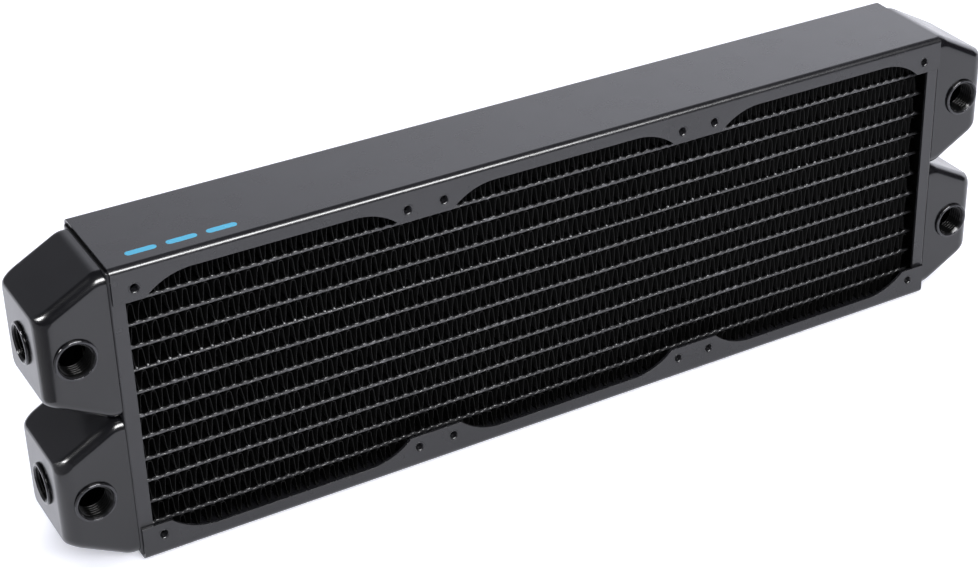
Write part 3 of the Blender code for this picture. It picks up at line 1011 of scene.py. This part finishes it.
def flat_tube(number, material):
    """A hollow flat tube with solder along its two rounded edges, where the fin strips stand."""
    node = f"flat_tube_{number:02d}"
    low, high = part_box(node)
    chance = random.Random(3000 + number)
    centre_z = (low.z + high.z) / 2
    length = high.x
    xs = np.linspace(-length, length, int(2 * length / TUBE_STEP) + 1)
    fade = np.clip((INNER_FIN_END - np.abs(xs)) / SOLDER_FADE, 0, 1)
    drops = number == BEADED_TUBE
    size = DROP_HEIGHT if drops else BEAD_HEIGHT
    over = bead_profile(xs, fin_turns(number + 1), -1, chance, size, drops) * fade
    under = bead_profile(xs, fin_turns(number), 1, chance, BEAD_HEIGHT_UNDER, False) * fade
    sag = ripple(xs, chance, height=0.00006, length=0.061) * fade
    swell = ripple(xs, chance, height=0.00004, length=0.0113) * fade
    section = tube_section((high.z - low.z) / 2 + GAP / 2, high.y)
    outer = np.empty((len(xs), len(section), 3))
    inner = np.empty_like(outer)
    for column, (outer_y, outer_z, inner_y, inner_z, across, rise) in enumerate(section):
        near = 0.70 + 0.30 * abs(across)    # the solder is thickest at the nose
        push = (over * max(rise, 0.0) + under * max(-rise, 0.0)) * near
        outer[:, column, 0] = xs
        outer[:, column, 1] = outer_y + across * (swell * abs(across) + 0.4 * push)
        outer[:, column, 2] = centre_z + outer_z + sag + push * np.sign(rise)
        inner[:, column, 0] = xs
        inner[:, column, 1] = inner_y
        inner[:, column, 2] = centre_z + inner_z + sag
    loop = np.concatenate([outer, inner[::-1]], axis=0)
    tube = closed_grid(node + "_soldered", loop, material, sharp_degrees=60)
    finish_piece(tube, "tube", node)


# ---------------------------------------------------------------- floor, light and camera
def floor():
    bm = bmesh.new()
    bmesh.ops.create_grid(bm, x_segments=1, y_segments=1, size=FLOOR_HALF_SIZE)
    plane = make_object("floor", bm, floor_material())
    plane.location = (0, 0, -FLOOR_DROP)


def aim(item, target):
    item.rotation_mode = "QUATERNION"
    item.rotation_quaternion = (Vector(target) - item.location).to_track_quat("-Z", "Y")


def softbox(name, place, width, height, power, lights_up=True, in_reflections=True):
    """A lamp with a rectangular face, aimed at the radiator."""
    data = bpy.data.lights.new(name, "AREA")
    data.shape = "RECTANGLE"
    data.size = width
    data.size_y = height
    data.energy = power
    light = bpy.data.objects.new(name, data)
    light.location = place
    light.visible_diffuse = lights_up
    light.visible_glossy = in_reflections
    bpy.context.scene.collection.objects.link(light)
    aim(light, LIGHTS_AIM)


def studio_surroundings():
    """A pale wall behind the radiator, brighter to the right; the rest of the room is dark."""
    dark_x = -0.10                # directions, as parts of a line of length 1
    bright_x = 0.75
    wall_top_z = 0.54
    ceiling_z = 0.76
    beside_y = -0.05
    behind_y = 0.25
    world = bpy.data.worlds.new("studio")
    bpy.context.scene.world = world
    world.use_nodes = True
    room = NodeTree(world.node_tree, "Generated")
    x, y, z = room.axes()
    wall = room.ramp(x, dark_x, bright_x, WALL_SHADE, WALL_BRIGHTNESS)
    below_ceiling = room.ramp(z, wall_top_z, ceiling_z, 1.0, 0.0, smooth=True)
    behind = room.ramp(y, beside_y, behind_y, 0.0, 1.0, smooth=True)
    lit = room.math("MULTIPLY", room.math("MULTIPLY", wall, below_ceiling), behind)
    background = room.nodes["Background"]
    background.inputs["Color"].default_value = (0.96, 0.97, 1.06, 1.0)
    room.links.new(room.math("ADD", lit, ROOM_GLOW), background.inputs["Strength"])


def lights():
    """Two lamps that are only reflected, then two that light up the scene and aren't reflected."""
    softbox("key_strip", (0.19, -1.02, 0.99), 0.96, 0.42, KEY_POWER, lights_up=False)
    softbox("left_glint", (-1.16, 0.08, 0.92), 0.30, 0.30, GLINT_POWER, lights_up=False)
    softbox("front_fill", (0.02, -1.05, 0.80), 1.1, 0.42, FRONT_FILL_POWER, in_reflections=False)
    softbox("overhead_fill", (0.0, -0.1, 2.6), 4.5, 4.5, OVERHEAD_POWER, in_reflections=False)


def grey_card():
    """A card to the left that only shows in reflections, as the dark band on a left tank's corner."""
    bm = bmesh.new()
    add_box(bm, CARD_LOW, CARD_HIGH)
    card = make_object("grey_card", bm, card_material())
    card.visible_camera = False
    card.visible_diffuse = False
    card.visible_shadow = False
    card.visible_transmission = False


def camera():
    data = bpy.data.cameras.new("camera")
    data.sensor_width = 36.0
    data.lens = CAMERA_LENS
    data.shift_x, data.shift_y = CAMERA_SHIFT
    data.clip_start = 0.01
    data.clip_end = 50.0
    item = bpy.data.objects.new("camera", data)
    item.location = CAMERA_PLACE
    bpy.context.scene.collection.objects.link(item)
    aim(item, CAMERA_AIM)
    bpy.context.scene.camera = item


# ---------------------------------------------------------------- the radiator
def radiator():
    side_panel("top_side_panel", 1, panel_material("top_panel_paint", True))
    side_panel("bottom_side_panel", -1, panel_material("bottom_panel_paint", False))
    header_paint = header_material()
    tank_paint = tank_material()
    plating = port_material()
    for column, side in (("left", -1), ("right", 1)):
        header_plate(f"{column}_header_plate", side, header_paint)
        for level in ("lower", "upper"):
            end_tank(f"{level}_{column}_tank", side, tank_paint)
            for kind in PORT_KINDS:
                port_bush(f"{level}_{column}_{kind}", kind, side, plating)
    fin_paint = fin_material()
    for row in range(1, FIN_ROW_COUNT + 1):
        fin_strip(row, fin_paint)
    for number in range(1, TUBE_COUNT + 1):
        flat_tube(number, tube_material(number))


camera()
studio_surroundings()
lights()
grey_card()
floor()
radiator()
bpy.context.scene.view_settings.view_transform = "Standard"
